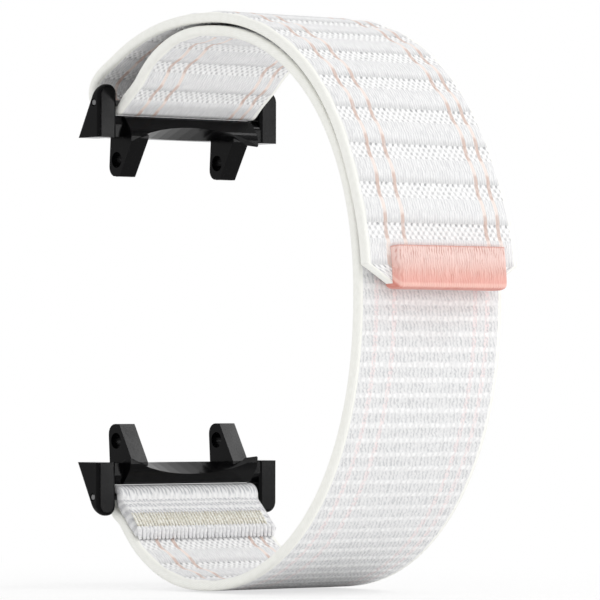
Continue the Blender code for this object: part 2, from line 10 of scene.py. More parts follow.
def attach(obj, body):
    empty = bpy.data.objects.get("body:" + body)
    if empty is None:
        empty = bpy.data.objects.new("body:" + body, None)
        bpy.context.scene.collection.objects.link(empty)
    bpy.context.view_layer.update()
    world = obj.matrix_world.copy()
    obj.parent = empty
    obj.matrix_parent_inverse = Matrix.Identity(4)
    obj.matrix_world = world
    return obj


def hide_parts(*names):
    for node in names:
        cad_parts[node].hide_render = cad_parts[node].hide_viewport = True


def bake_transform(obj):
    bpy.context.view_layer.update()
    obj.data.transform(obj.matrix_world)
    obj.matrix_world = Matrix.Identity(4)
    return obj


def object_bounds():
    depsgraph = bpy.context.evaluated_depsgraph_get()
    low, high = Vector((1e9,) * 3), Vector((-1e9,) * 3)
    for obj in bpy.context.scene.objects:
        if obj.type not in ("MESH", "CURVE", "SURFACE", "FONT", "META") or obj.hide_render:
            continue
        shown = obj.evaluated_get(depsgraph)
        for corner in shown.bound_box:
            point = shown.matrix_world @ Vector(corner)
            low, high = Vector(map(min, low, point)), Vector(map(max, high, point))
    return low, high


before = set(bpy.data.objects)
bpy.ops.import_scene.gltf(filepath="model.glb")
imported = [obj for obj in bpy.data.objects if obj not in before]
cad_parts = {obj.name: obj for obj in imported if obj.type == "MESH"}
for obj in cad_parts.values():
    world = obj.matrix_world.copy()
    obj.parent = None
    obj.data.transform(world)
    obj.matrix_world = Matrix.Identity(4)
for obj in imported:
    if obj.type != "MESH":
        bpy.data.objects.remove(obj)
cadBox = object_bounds()

# The path of the band, with the same values as the solids. Metres and degrees, points are (x, z).
curveSteps = 90  # along a whole curve
turnSteps = 12  # round a bar
linkReach = 0.38  # handles of the links between curves

opening = {  # round the wrist, flatter on the watch side
    "centreX": -0.003, "clasp": 0.0273, "top": 0.0305, "bottom": 0.0327,
    "topLeft": 0.0193, "bottomLeft": 0.0222, "power": 2.15,
    "leaveTop": 124.0, "leaveBottom": -128.0,  # the curve ends here and links to a bar
    "meetsBar": -44.0,
}
bar = {
    "x": -0.0193, "z": 0.0233,
    "land": 0.0005, "wrap": 0.0014,  # radius of the ribbed face round the lower and the upper bar
}
fold = {"length": 0.0067, "clearance": 0.00012, "bendAngle": -8.0, "meets": 0.62}  # doubled end
flap = {
    "gap": 0.00035, "leftReach": 0.0315, "start": 120.0, "bulgeX": -0.02415, "bulgeRise": 0.0012,
    "leavesBar": -105.0, "crown": 90.0, "shoulder": 55.0, "side": 26.0, "end": 1.95,
    "lift": 0.00065, "liftLength": 0.014,  # the tip stands off by the hook tape
}
web = {
    "half": 0.0109, "thick": 0.00115,
    "squeezed": 0.0009, "squeezeFade": 0.0022,  # thinner round a bar
    "pad": 0.00025, "padPower": 0.7, "pitch": 0.00483,  # padded ribs
    "row": 0.0016, "lastRow": 0.006, "dip": 0.00005,  # sewn rows between them
    "flankIn": 0.00055, "flank": 0.0007,  # ribs fade out beside the selvedge
    "edge": 0.00045, "edgePower": 2.4,  # selvedge
    "backPitch": 0.00161, "backWave": 0.00003,  # brushed outside
    "pinch": 0.00025, "pinchReach": 0.003, "pinchFade": 0.006,  # narrower between the ears
    "spread": 0.0006,  # wider towards the tip, on each side
    "cutLength": 0.0022, "cutWidth": 0.0036,  # corners cut off the tip
    "turnStep": 0.0001,  # between rings round a bar, twice that elsewhere
    "faceColumns": 44, "backColumns": 22, "edgeSteps": 8,
}
tab = {  # coral wrap over the tip
    "length": 0.0042, "width": 0.0168, "shift": 0.0007,
    "front": 0.00106, "back": 0.00176, "nose": 0.00062, "power": 3.0,
    "thread": 0.00036, "ridge": 0.000045, "ridgePower": 0.8, "sway": 0.42, "swayPlace": (900, 0.11, 3.7),
    "corner": 0.0009, "round": 0.0008, "thin": 0.3,
    "fade": 0.0004,  # over this length the ribs die out beside the wrap
    "clearance": 0.00004, "lengthSteps": 26, "noseSteps": 14, "threadColumns": 6,
}
standoff = 2 * web["thick"] + flap["gap"]


def roundedPower(value):
    return math.copysign(abs(value) ** (2 / opening["power"]), value)


def openingPoint(degrees):
    angle = math.radians(degrees)
    across, up = math.cos(angle), math.sin(angle)
    reach = opening["clasp"]
    if across < 0:
        reach = opening["topLeft"] if up >= 0 else opening["bottomLeft"]
    height = opening["top"] if up >= 0 else opening["bottom"]
    return Vector((opening["centreX"] + reach * roundedPower(across), height * roundedPower(up)))


def flapLeftPoint(degrees):
    angle = math.radians(degrees)
    return Vector((
        opening["centreX"] + flap["leftReach"] * roundedPower(math.cos(angle)),
        (opening["top"] + standoff) * roundedPower(math.sin(angle)),
    ))


def barPoint(z, radius, degrees):
    angle = math.radians(degrees)
    return Vector((bar["x"] + radius * math.cos(angle), z + radius * math.sin(angle)))


def sweep(function, start, end, steps=curveSteps):
    return [function(start + (end - start) * i / steps) for i in range(steps + 1)]


def heading(points, index):
    before, after = max(index - 1, 0), min(index + 1, len(points) - 1)
    return (points[after] - points[before]).normalized()


def rightOf(direction):
    return Vector((direction.y, -direction.x))


def shifted(points, distance):
    moved = []
    for i, point in enumerate(points):
        step = distance(i / (len(points) - 1)) if callable(distance) else distance
        moved.append(point + rightOf(heading(points, i)) * step)
    return moved


def link(start, startHeading, end, endHeading):
    reach = (end - start).length * linkReach
    return interpolate_bezier(
        start, start + startHeading * reach, end - endHeading * reach, end, curveSteps // 2
    )


def smoothStep(value):
    value = min(max(value, 0), 1)
    return value * value * (3 - 2 * value)


class Line:  # a path that knows its length at every point
    def __init__(self):
        self.points = []
        self.marks = {}

    def add(self, points, mark=None):
        self.points += points[1:] if self.points else points
        self.lengths = [0.0]
        for a, b in zip(self.points, self.points[1:]):
            self.lengths.append(self.lengths[-1] + (b - a).length)
        if mark:
            self.marks[mark] = self.lengths[-1]

    def at(self, length):
        i = min(max(bisect.bisect_right(self.lengths, length) - 1, 0), len(self.points) - 2)
        share = (length - self.lengths[i]) / (self.lengths[i + 1] - self.lengths[i])
        near, far = heading(self.points, i), heading(self.points, i + 1)
        return self.points[i].lerp(self.points[i + 1], share), near.lerp(far, share).normalized()


def wristRun():
    line = Line()
    run = sweep(openingPoint, opening["leaveBottom"], opening["leaveTop"], 3 * curveSteps)
    start = Vector((bar["x"] - bar["land"], -bar["z"]))
    line.add(link(start, Vector((0, -1)), run[0], heading(run, 0)))
    line.add(run)
    return line


def bandLine(run):
    line = Line()
    doubled = []
    for k in range(turnSteps + 1):
        place, direction = run.at(fold["length"] * (1 - (1 - fold["meets"]) * k / turnSteps))
        doubled.append(place - rightOf(direction) * fold["clearance"])
    turn = sweep(lambda a: barPoint(-bar["z"], bar["land"], a), fold["bendAngle"], 180, 2 * turnSteps)
    line.add(doubled)
    line.add(link(doubled[-1], heading(doubled, turnSteps), turn[0], heading(turn, 0)), "lowerTurn")
    line.add(turn, "lowerBar")
    line.add(run.points)

    def upperTurn(degrees):
        return barPoint(bar["z"], bar["wrap"], degrees)

    turn = sweep(upperTurn, opening["meetsBar"], flap["leavesBar"], turnSteps)
    last = len(run.points) - 1
    line.add(link(run.points[-1], heading(run.points, last), turn[0], heading(turn, 0)), "upperBar")
    line.add(turn, "upperTurn")
    crown = sweep(flapLeftPoint, flap["start"], flap["crown"])
    bulge = Vector((flap["bulgeX"], bar["z"] + flap["bulgeRise"]))
    up = Vector((0, 1))
    line.add(link(turn[-1], heading(turn, turnSteps), bulge, up))
    line.add(link(bulge, up, crown[0], heading(crown, 0)), "root")
    line.add(crown, "crown")
    for mark, start in (("shoulder", "crown"), ("side", "shoulder")):
        line.add(shifted(sweep(openingPoint, flap[start], flap[mark]), -standoff), mark)
    inner = sweep(openingPoint, flap["side"], flap["end"])
    length = sum((b - a).length for a, b in zip(inner, inner[1:]))

    def lifted(share):
        return -standoff - flap["lift"] * smoothStep(1 - (1 - share) * length / flap["liftLength"])

    line.add(shifted(inner, lifted), "end")
    return line


run = wristRun()
band = bandLine(run)
marks = band.marks  # where each stretch of the band ends, as a length along it
rowOrigin = marks["end"] - web["lastRow"]


# How the webbing changes along its length.
def nearness(length, start, end, fade):
    return 1 - smoothStep(max(start - length, length - end, 0) / fade)


def squeezed(length):
    return max(
        nearness(length, marks["lowerTurn"], marks["lowerBar"], web["squeezeFade"]),
        nearness(length, marks["upperBar"], marks["upperTurn"], web["squeezeFade"]),
    )


def flattened(length):
    return max(
        squeezed(length),
        nearness(length, 0, marks["lowerBar"] + fold["length"], tab["fade"]),
        nearness(length, marks["end"] - tab["length"], marks["end"], tab["fade"]),
    )


def thicknessAt(length):
    return web["thick"] + (web["squeezed"] - web["thick"]) * squeezed(length)


def padRise(length):
    offset = (length - rowOrigin + web["row"] / 2) % web["pitch"]
    if offset <= web["row"]:
        return -web["dip"] * math.sin(math.pi * offset / web["row"]) * (1 - flattened(length))
    share = (offset - web["row"]) / (web["pitch"] - web["row"])
    rise = web["pad"] * math.sin(math.pi * share) ** web["padPower"]
    return rise * (1 - flattened(length))


def halfWidth(length):
    cut = max(0.0, 1 - (marks["end"] - length) / web["cutLength"])
    reach = web["pinchReach"]
    pinch = max(
        nearness(length, 0, marks["lowerBar"] + reach, web["pinchFade"]),
        nearness(length, marks["upperBar"] - reach, marks["upperTurn"], web["pinchFade"]),
    )
    share = (length - marks["shoulder"]) / (marks["end"] - marks["shoulder"])
    spread = web["spread"] * smoothStep(share)
    return web["half"] + spread - web["pinch"] * pinch - web["cutWidth"] * cut


def webProfile(length):  # one ring of the webbing: ribbed face, edge, outside, edge
    half, thick = halfWidth(length), thicknessAt(length)
    rise, edge = padRise(length), web["edge"]
    wave = web["backWave"] * math.cos(2 * math.pi * length / web["backPitch"]) * (1 - squeezed(length))
    points = []
    for k in range(web["faceColumns"] + 1):
        y = (2 * k / web["faceColumns"] - 1) * (half - edge)
        fade = smoothStep((half - abs(y) - web["flankIn"]) / web["flank"])
        points.append((y, -rise * fade))

    def bead(side, first, last):
        for k in range(1, web["edgeSteps"]):
            angle = math.radians(first + (last - first) * k / web["edgeSteps"])
            out = abs(math.cos(angle)) ** (2 / web["edgePower"])
            deep = math.copysign(abs(math.sin(angle)) ** (2 / web["edgePower"]), math.sin(angle))
            points.append((side * (half - edge + edge * out), thick / 2 * (1 + deep)))

    bead(1, -90, 90)
    for k in range(web["backColumns"] + 1):
        y = (1 - 2 * k / web["backColumns"]) * (half - edge)
        fade = smoothStep((half - abs(y) - web["flankIn"]) / web["flank"])
        points.append((y, thick + wave * fade))
    bead(-1, 90, -90)
    return points


def webColumns():  # material slot and both U values of each column of that ring
    columns = []
    for slot, count, turned in (
        (0, web["faceColumns"], False), (2, web["edgeSteps"], False),
        (1, web["backColumns"], True), (2, web["edgeSteps"], True),
    ):
        for k in range(count):
            near, far = k / count, (k + 1) / count
            columns.append((slot, 1 - near, 1 - far) if turned else (slot, near, far))
    return columns


def stationsBetween(start, end):
    found = [start]
    step = web["turnStep"]
    s = rowOrigin + math.ceil((start - rowOrigin) / step + 0.1) * step
    while s < end - step / 2:
        tight = squeezed(s) > 0.5
        onGrid = round((s - rowOrigin) / step) % 2 == 0
        if tight or onGrid:
            found.append(s)
        s += step
    return found + [end]


def placed(place, right, y, depth):
    return Vector((place.x + right.x * depth, y, place.y + right.y * depth))


def finishMesh(name, bm, materials, sharp=None):
    mesh = bpy.data.meshes.new(name)
    bm.to_mesh(mesh)
    bm.free()
    for item in materials:
        mesh.materials.append(item)
    mesh.shade_smooth()
    if sharp:
        mesh.set_sharp_from_angle(angle=math.radians(sharp))
    piece = bpy.data.objects.new(name, mesh)
    bpy.context.scene.collection.objects.link(piece)
    return piece


def loft(bm, rings, uvLayer, uvOf, slotOf):  # a skin over closed rings, with its own UV map
    rows = [[bm.verts.new(point) for point in ring] for ring in rings]
    count = len(rings[0])
    for i in range(len(rows) - 1):
        for j in range(count):
            k = (j + 1) % count
            face = bm.faces.new((rows[i][j], rows[i + 1][j], rows[i + 1][k], rows[i][k]))
            face.material_index = slotOf(j)
            for loop, corner in zip(face.loops, ((i, 0), (i + 1, 0), (i + 1, 1), (i, 1))):
                loop[uvLayer].uv = uvOf(corner[0], j, corner[1])
    return rows


def webPiece(name, start, end, materials, capStart=False, capEnd=False):
    bm = bmesh.new()
    uvLayer = bm.loops.layers.uv.new("weave")
    stations = stationsBetween(start, end)
    rings = []
    for s in stations:
        place, direction = band.at(s)
        right = rightOf(direction)
        rings.append([placed(place, right, y, depth) for y, depth in webProfile(s)])
    columns = webColumns()

    def uvOf(i, j, side):
        return columns[j][1 + side], (stations[i] - rowOrigin) / web["pitch"]

    rows = loft(bm, rings, uvLayer, uvOf, lambda j: columns[j][0])
    for wanted, ring in ((capStart, rows[0]), (capEnd, rows[-1])):
        if wanted:
            face = bm.faces.new(ring)
            face.material_index = 2
    bmesh.ops.recalc_face_normals(bm, faces=bm.faces[:])
    piece = finishMesh(name, bm, materials)
    return piece


class Graph:  # short ways to add and join shader nodes
    def __init__(self, tree):
        self.tree = tree
        self.column = 0

    def add(self, kind, **settings):
        made = self.tree.nodes.new(kind)
        made.location = (self.column * 40, -(self.column % 7) * 160)
        self.column += 1
        for key, value in settings.items():
            setattr(made, key, value)
        return made

    def feed(self, socket, value):
        if isinstance(value, bpy.types.NodeSocket):
            self.tree.links.new(value, socket)
        else:
            socket.default_value = value

    def maths(self, operation, *values):
        made = self.add("ShaderNodeMath", operation=operation)
        for socket, value in zip(made.inputs, values):
            self.feed(socket, value)
        return made.outputs[0]

    def times(self, first, second):
        return self.maths("MULTIPLY", first, second)

    def plus(self, base, value, amount):
        return self.maths("MULTIPLY_ADD", value, amount, base)

    def distance(self, value):
        return self.maths("ABSOLUTE", value)

    def ramp(self, value, low, high, first=0.0, last=1.0):
        made = self.add("ShaderNodeMapRange", interpolation_type="SMOOTHSTEP")
        for socket, given in zip(made.inputs, (value, low, high, first, last)):
            self.feed(socket, given)
        return made.outputs[0]

    def wave(self, value, period, shift=0.0):
        return self.maths("COSINE", self.plus(shift, value, 2 * math.pi / period))

    def mix(self, factor, first, second):
        made = self.add("ShaderNodeMix", data_type="RGBA")
        self.feed(made.inputs[0], factor)
        self.feed(made.inputs[6], first)
        self.feed(made.inputs[7], second)
        return made.outputs[2]

    def tinted(self, first, second):
        made = self.add("ShaderNodeMix", data_type="RGBA", blend_type="MULTIPLY")
        made.inputs[0].default_value = 1.0
        self.feed(made.inputs[6], first)
        self.feed(made.inputs[7], second)
        return made.outputs[2]

    def joined(self, x, y, z=0.0):
        made = self.add("ShaderNodeCombineXYZ")
        for socket, value in zip(made.inputs, (x, y, z)):
            self.feed(socket, value)
        return made.outputs[0]

    def stretched(self, x, xScale, y, yScale, z=0.0):
        return self.joined(self.times(x, xScale), self.times(y, yScale), z)

    def grain(self, vector, scale=1.0, detail=2.0, roughness=0.5):
        made = self.add("ShaderNodeTexNoise")
        self.feed(made.inputs["Vector"], vector)
        made.inputs["Scale"].default_value = scale
        made.inputs["Detail"].default_value = detail
        made.inputs["Roughness"].default_value = roughness
        return made.outputs["Fac"]

    def bump(self, height, distance, strength):
        made = self.add("ShaderNodeBump")
        made.inputs["Strength"].default_value = strength
        made.inputs["Distance"].default_value = distance
        self.feed(made.inputs["Height"], height)
        return made.outputs[0]

    def weaveMap(self):  # U across the band, V one unit for each rib
        uv = self.add("ShaderNodeUVMap", uv_map="weave")
        parts = self.add("ShaderNodeSeparateXYZ")
        self.feed(parts.inputs[0], uv.outputs[0])
        return parts.outputs[0], parts.outputs[1]

    def objectPlace(self, scale=None):
        place = self.add("ShaderNodeTexCoord").outputs["Object"]
        if scale is None:
            return place
        scaled = self.add("ShaderNodeVectorMath", operation="MULTIPLY")
        self.feed(scaled.inputs[0], place)
        scaled.inputs[1].default_value = scale
        return scaled.outputs[0]


def srgb(red, green, blue):
    def linear(value):
        value /= 255
        return value / 12.92 if value <= 0.04045 else ((value + 0.055) / 1.055) ** 2.4

    return linear(red), linear(green), linear(blue), 1.0


plainWhite = (1, 1, 1, 1)
stitchWhite = srgb(255, 255, 255)
cream = srgb(252, 252, 246)


def newGroup(name, inputs, outputs):
    group = bpy.data.node_groups.new(name, "ShaderNodeTree")
    for item in inputs:
        group.interface.new_socket(item, in_out="INPUT", socket_type="NodeSocketFloat")
    for item in outputs:
        group.interface.new_socket(item, in_out="OUTPUT", socket_type="NodeSocketFloat")
    graph = Graph(group)
    return group, graph, graph.add("NodeGroupInput"), graph.add("NodeGroupOutput")


def coordinatesGroup():  # millimetres across the band, along it, and from the nearest row
    group, g, _, out = newGroup("weave coordinates", [], ["Across", "Along", "Row"])
    u, v = g.weaveMap()
    across = g.times(g.maths("SUBTRACT", u, 0.5), 2000 * (web["half"] - web["edge"]))
    along = g.times(v, 1000 * web["pitch"])
    part = g.maths("SUBTRACT", g.maths("FRACT", g.maths("ADD", v, 0.5)), 0.5)
    row = g.times(part, 1000 * web["pitch"])
    for socket, value in zip(out.inputs, (across, along, row)):
        g.feed(socket, value)
    return group


def linesGroup(name, centres, width):
    group, g, source, out = newGroup(name, ["Across"], ["Line"])
    total = None
    for centre in centres:
        away = g.distance(g.maths("SUBTRACT", source.outputs[0], centre))
        line = g.ramp(away, width * 0.62, width * 0.32)
        total = line if total is None else g.maths("MAXIMUM", total, line)
    g.feed(out.inputs[0], total)
    return group


def useGroup(g, group, *values):
    made = g.add("ShaderNodeGroup")
    made.node_tree = group
    for socket, value in zip(made.inputs, values):
        g.feed(socket, value)
    return made.outputs


def newMaterial(name, roughness, sheen=0.0, metallic=0.0, specular=0.5):
    made = bpy.data.materials.new(name)
    made.use_nodes = True
    shader = made.node_tree.nodes["Principled BSDF"]
    shader.inputs["Roughness"].default_value = roughness
    shader.inputs["Metallic"].default_value = metallic
    shader.inputs["Specular IOR Level"].default_value = specular
    shader.inputs["Sheen Weight"].default_value = sheen
    return made, Graph(made.node_tree), shader


coordinates = coordinatesGroup()
faceLines = linesGroup("coral lines", (-7.6, -5.15, 6.75, 8.55), 0.54)
backLines = linesGroup("pink lines", (-8.1, -5.45, 6.75, 8.6), 0.7)

# Ribbed face, in millimetres. A pair is where a soft step starts and ends, a four adds its two values.
ribbed = {
    "shade": srgb(212, 212, 214), "light": srgb(247, 247, 247), "row": srgb(240, 240, 240),
    "hole": srgb(186, 186, 189), "coralPale": srgb(248, 234, 226), "coral": srgb(217, 190, 178),
    "rowEdge": (1.05, 0.85), "creamEdge": (10.05, 10.3),
    "wobble": 1.3, "jitter": 1.9, "patches": 1.1, "patchShare": (0.35, 0.65, 0.5, 1.0),
    "knotPitch": 0.8, "knotShift": 0.4, "knotSway": 0.45,  # across the band
    "knotStep": 1.02, "knotStepShift": 4.0, "knotStepSway": 0.22,  # along it
    # hole tone is painted shade in the stitch holes, strongest in the row beside the rib above as its
    # painted shadow
    "knotFrom": (-0.3, 0.5), "holeFrom": (-0.25, -0.8), "ribShadowOnHoles": (-0.35, -0.75, 0.62, 1.0),
    "threadPitch": 0.36, "threadSway": 0.4, "threadSlant": 0.1, "threadTone": 0.2,
    "streaks": (4.6, 0.8), "streakTone": (0.25, 0.75, 0.25, 1.0),
    "paintedShadeRow": (-1.8, -0.98, 1.0, 0.85), "paintedShadeEnd": (-0.95, -0.75),  # painted shade below each rib
    "coralFrom": (-2.0, -1.4), "coralTo": (1.15, 0.7), "coralSway": 0.6,  # strong beside a row
    "lineSway": 0.06, "lineShift": 0.03, "lineFade": (0.25, 0.6, 0.45, 0.92),
    "knotRise": 0.9, "holeRise": -0.7, "streakRise": 0.5, "threadRise": 0.22,
    "relief": 0.0001, "reliefShare": 0.8,  # metres
}


def ribbedWebbing():
    look = ribbed
    material, g, shader = newMaterial("ribbed nylon webbing", 0.75, sheen=0.15, specular=0.2)
    across, along, row = useGroup(g, coordinates)
    inRow = g.ramp(g.distance(row), *look["rowEdge"])
    wobble = g.grain(g.joined(across, along), look["wobble"])
    jitter = g.grain(g.joined(across, along, 7.0), look["jitter"], detail=1.0)
    patchy = g.grain(g.joined(across, along, 3.0), look["patches"], roughness=0.7)
    patchy = g.ramp(patchy, *look["patchShare"])
    lattice = g.times(
        g.wave(g.plus(across, jitter, look["knotSway"]), look["knotPitch"], look["knotShift"]),
        g.wave(g.plus(row, wobble, look["knotStepSway"]), look["knotStep"], look["knotStepShift"]),
    )
    # Real stitch holes, darkened by painted shade; the row beside the rib above also gets the painted
    # shadow of that rib.
    hole = g.times(g.ramp(lattice, *look["holeFrom"]), inRow)
    hole = g.times(hole, g.ramp(row, *look["ribShadowOnHoles"]))
    hole = g.times(hole, patchy)
    knot = g.times(g.ramp(lattice, *look["knotFrom"]), inRow)
    streaks = g.stretched(across, look["streaks"][0], along, look["streaks"][1])
    streaks = g.grain(streaks, detail=3.0, roughness=0.65)
    threads = g.plus(across, wobble, look["threadSway"])
    threads = g.wave(g.plus(threads, row, look["threadSlant"]), look["threadPitch"])
    rib = g.maths("SUBTRACT", 1.0, inRow)

    tone = g.plus(g.ramp(streaks, *look["streakTone"]), threads, look["threadTone"])
    base = g.mix(tone, look["shade"], look["light"])
    base = g.mix(inRow, base, look["row"])
    base = g.mix(knot, base, stitchWhite)
    # Painted shade: each rib darker along its lower edge, as if lit from above.
    paintedRibShade = g.ramp(row, *look["paintedShadeRow"])
    paintedRibShade = g.mix(g.ramp(row, *look["paintedShadeEnd"]), g.joined(paintedRibShade, paintedRibShade, paintedRibShade), plainWhite)
    base = g.tinted(g.tinted(base, paintedRibShade), g.mix(hole, plainWhite, look["hole"]))

    place = g.plus(g.maths("SUBTRACT", across, look["lineShift"]), wobble, look["lineSway"])
    line = useGroup(g, faceLines, place)[0]
    strong = g.ramp(g.plus(row, wobble, look["coralSway"]), *look["coralFrom"])
    strong = g.times(strong, g.ramp(row, *look["coralTo"]))
    coral = g.mix(strong, look["coralPale"], look["coral"])
    base = g.mix(g.times(line, g.ramp(streaks, *look["lineFade"])), base, coral)
    atEdge = g.ramp(g.distance(across), *look["creamEdge"])
    g.feed(shader.inputs["Base Color"], g.mix(atEdge, base, cream))

    height = g.maths("ADD", g.times(knot, look["knotRise"]), g.times(hole, look["holeRise"]))
    ribbing = g.plus(g.times(streaks, look["streakRise"]), threads, look["threadRise"])
    height = g.maths("ADD", height, g.times(ribbing, rib))
    height = g.times(height, g.maths("SUBTRACT", 1.0, atEdge))
    g.feed(shader.inputs["Normal"], g.bump(height, look["relief"], look["reliefShare"]))
    return material


# Brushed outside in millimetres: bright cross rows, with slanted loops between them.
brushed = {
    "light": srgb(242, 242, 242), "creamEdge": (10.1, 10.3),
    "wobble": 0.9, "rowSway": 0.5, "jitter": 1.7, "loopSway": 0.7,
    "patches": 1.2, "patchShare": (0.3, 0.62, 0.2, 1.0),
    "rowEdge": (0.4, 0.12), "rowGaps": (-0.6, 0.5),
    "loopEdge": (0.15, 0.45), "loopFrom": (0.3, -0.8), "loopPitch": 0.68, "slant": 0.4,
    "fuzz": (4.0, 3.0), "fuzzTone": (0.3, 0.62, 0.55, 1.0),
    "pinkShade": srgb(234, 214, 216), "pinkLight": srgb(252, 236, 235),
    "pinkSway": 0.2, "pinkFade": (0.35, 0.62, 0.0, 0.75),
    "rowRise": 0.8, "loopRise": -0.6, "fuzzRise": 0.6,
    "relief": 0.0001, "reliefShare": 0.7,  # metres
}
wristLoops = {
    "pitch": 1.72, "spacing": 0.82, "depth": 0.7, "shade": srgb(206, 207, 209), "edged": True,
}
doubledLoops = {
    "pitch": 1.15, "spacing": 0.85, "depth": 1.8, "shade": srgb(200, 201, 204), "edged": False,
    "rowShare": 0.6, "loopShare": 0.85,
}


def loopedWebbing(name, loops):
    look = brushed
    material, g, shader = newMaterial(name, 0.85, sheen=0.2, specular=0.15)
    across, along, _ = useGroup(g, coordinates)
    wobble = g.grain(g.joined(across, along), look["wobble"])
    step = g.maths("DIVIDE", g.plus(along, wobble, look["rowSway"]), loops["pitch"])
    cell = g.times(g.maths("SUBTRACT", g.maths("FRACT", step), 0.5), loops["pitch"])
    away = g.distance(cell)
    jitter = g.grain(g.joined(across, along, 5.0), look["jitter"], detail=1.0)
    bent = g.plus(across, jitter, look["loopSway"])
    patchy = g.grain(g.joined(across, along, 9.0), look["patches"], detail=3.0, roughness=0.7)
    patchy = g.ramp(patchy, *look["patchShare"])
    bright = g.ramp(g.wave(bent, loops["spacing"]), *look["rowGaps"])
    bright = g.times(g.ramp(away, *look["rowEdge"]), bright)
    bright = g.times(bright, patchy if loops["edged"] else loops["rowShare"])
    strokes = g.wave(g.plus(bent, cell, look["slant"]), loops["spacing"] * look["loopPitch"])
    strokes = g.times(g.ramp(strokes, *look["loopFrom"]), g.ramp(away, *look["loopEdge"]))
    strokes = g.times(strokes, patchy if loops["edged"] else loops["loopShare"])
    fuzz = g.stretched(across, look["fuzz"][0], along, look["fuzz"][1])
    fuzz = g.grain(fuzz, detail=4.0, roughness=0.7)

    tone = g.plus(g.ramp(fuzz, *look["fuzzTone"]), strokes, -loops["depth"])
    base = g.mix(tone, loops["shade"], look["light"])
    if loops["edged"]:
        line = useGroup(g, backLines, g.plus(across, wobble, look["pinkSway"]))[0]
        pink = g.mix(tone, look["pinkShade"], look["pinkLight"])
        base = g.mix(g.times(line, g.ramp(fuzz, *look["pinkFade"])), base, pink)
    base = g.mix(bright, base, stitchWhite)
    height = g.plus(g.times(bright, look["rowRise"]), strokes, look["loopRise"])
    height = g.plus(height, fuzz, look["fuzzRise"])
    if loops["edged"]:
        atEdge = g.ramp(g.distance(across), *look["creamEdge"])
        base = g.mix(atEdge, base, cream)
        height = g.times(height, g.maths("SUBTRACT", 1.0, atEdge))
    g.feed(shader.inputs["Base Color"], base)
    g.feed(shader.inputs["Normal"], g.bump(height, look["relief"], look["reliefShare"]))
    return material


edging = {
    "shade": srgb(236, 236, 229), "light": srgb(251, 251, 246),
    "strand": 0.125, "slant": 0.9, "strandTone": 0.12, "strandRise": 0.3,
    "fibres": (3.0, 6.0), "fibreTone": (0.3, 0.7, 0.6, 0.88), "fibreRise": 0.5,
    "relief": 0.00005, "reliefShare": 0.6,
}


def selvedge():
    material, g, shader = newMaterial("cream selvedge", 0.7, sheen=0.15, specular=0.2)
    u, v = g.weaveMap()
    strands = g.wave(g.plus(u, v, edging["slant"]), edging["strand"])
    fibres = g.stretched(u, edging["fibres"][0], v, edging["fibres"][1])
    fibres = g.grain(fibres, detail=3.0)
    tone = g.plus(g.ramp(fibres, *edging["fibreTone"]), strands, edging["strandTone"])
    g.feed(shader.inputs["Base Color"], g.mix(tone, edging["shade"], edging["light"]))
    height = g.plus(g.times(fibres, edging["fibreRise"]), strands, edging["strandRise"])
    g.feed(shader.inputs["Normal"], g.bump(height, edging["relief"], edging["reliefShare"]))
    return material


threads = {  # darkest and lightest tone, roughness, sheen, fibres to the metre
    "beige": ((216, 210, 192), (255, 254, 248), 0.7, 0.2, 3000),
    "white": ((232, 232, 234), (254, 254, 254), 0.7, 0.2, 3000),
    "hooks": ((214, 214, 214), (240, 240, 240), 0.45, 0.0, 2500),
}


def threadMaterial(name, kind):
    low, high, roughness, sheen, fibres = threads[kind]
    material, g, shader = newMaterial(name, roughness, sheen=sheen, specular=0.4)
    streak = g.grain(g.objectPlace((fibres, fibres, fibres)), detail=3.0, roughness=0.6)
    g.feed(shader.inputs["Base Color"], g.mix(g.ramp(streak, 0.3, 0.7), srgb(*low), srgb(*high)))
    g.feed(shader.inputs["Normal"], g.bump(streak, 0.00003, 0.5))
    return material


# Coral wrap. Its V runs once round it: front, tip of the nose near 0.5, wrist side.
satin = {
    "shade": srgb(212, 144, 130), "light": srgb(249, 208, 198),
    "top": (0.3, 0.1, 0.0, 0.6), "topTone": srgb(250, 226, 220),
    # painted shade: the front darker towards the rounded nose
    "paintedRimShade": (0.22, 0.38), "paintedRimShadeShare": 0.5, "paintedRimShadeTone": srgb(240, 160, 146),
    # painted highlight: a pale strip along the nose
    "paintedHighlightFrom": (0.37, 0.395), "paintedHighlightTo": (0.43, 0.41), "paintedHighlightShare": 0.7,
    "paintedHighlightTone": srgb(252, 204, 192),
    # painted shade: a dark line under the nose
    "paintedNoseShade": (0.42, 0.45), "paintedNoseShadeShare": 0.75, "paintedNoseShadeTone": srgb(208, 120, 104),
    "underside": (0.66, 0.56),  # painted rim shade and painted nose shade end here
    "gapsTo": (0.26, 0.05), "gapTone": srgb(196, 128, 114),
    # painted shade: a thin dark line in the crease where the wrap meets the webbing
    "paintedCreaseShade": (0.034, 0.018), "paintedCreaseShadeShare": 0.6, "paintedCreaseShadeTone": srgb(205, 132, 118),
    "sway": 0.7, "strandTone": 0.14, "fineTone": (0.3, 0.7, 0.3, 0.9),
    "gapFrom": (0.0, -0.9), "gapPatches": (0.4, 0.6, 0.15, 0.8),
    "strandRise": 0.5, "fineRise": 0.5, "relief": 0.00008, "reliefShare": 0.6,
}


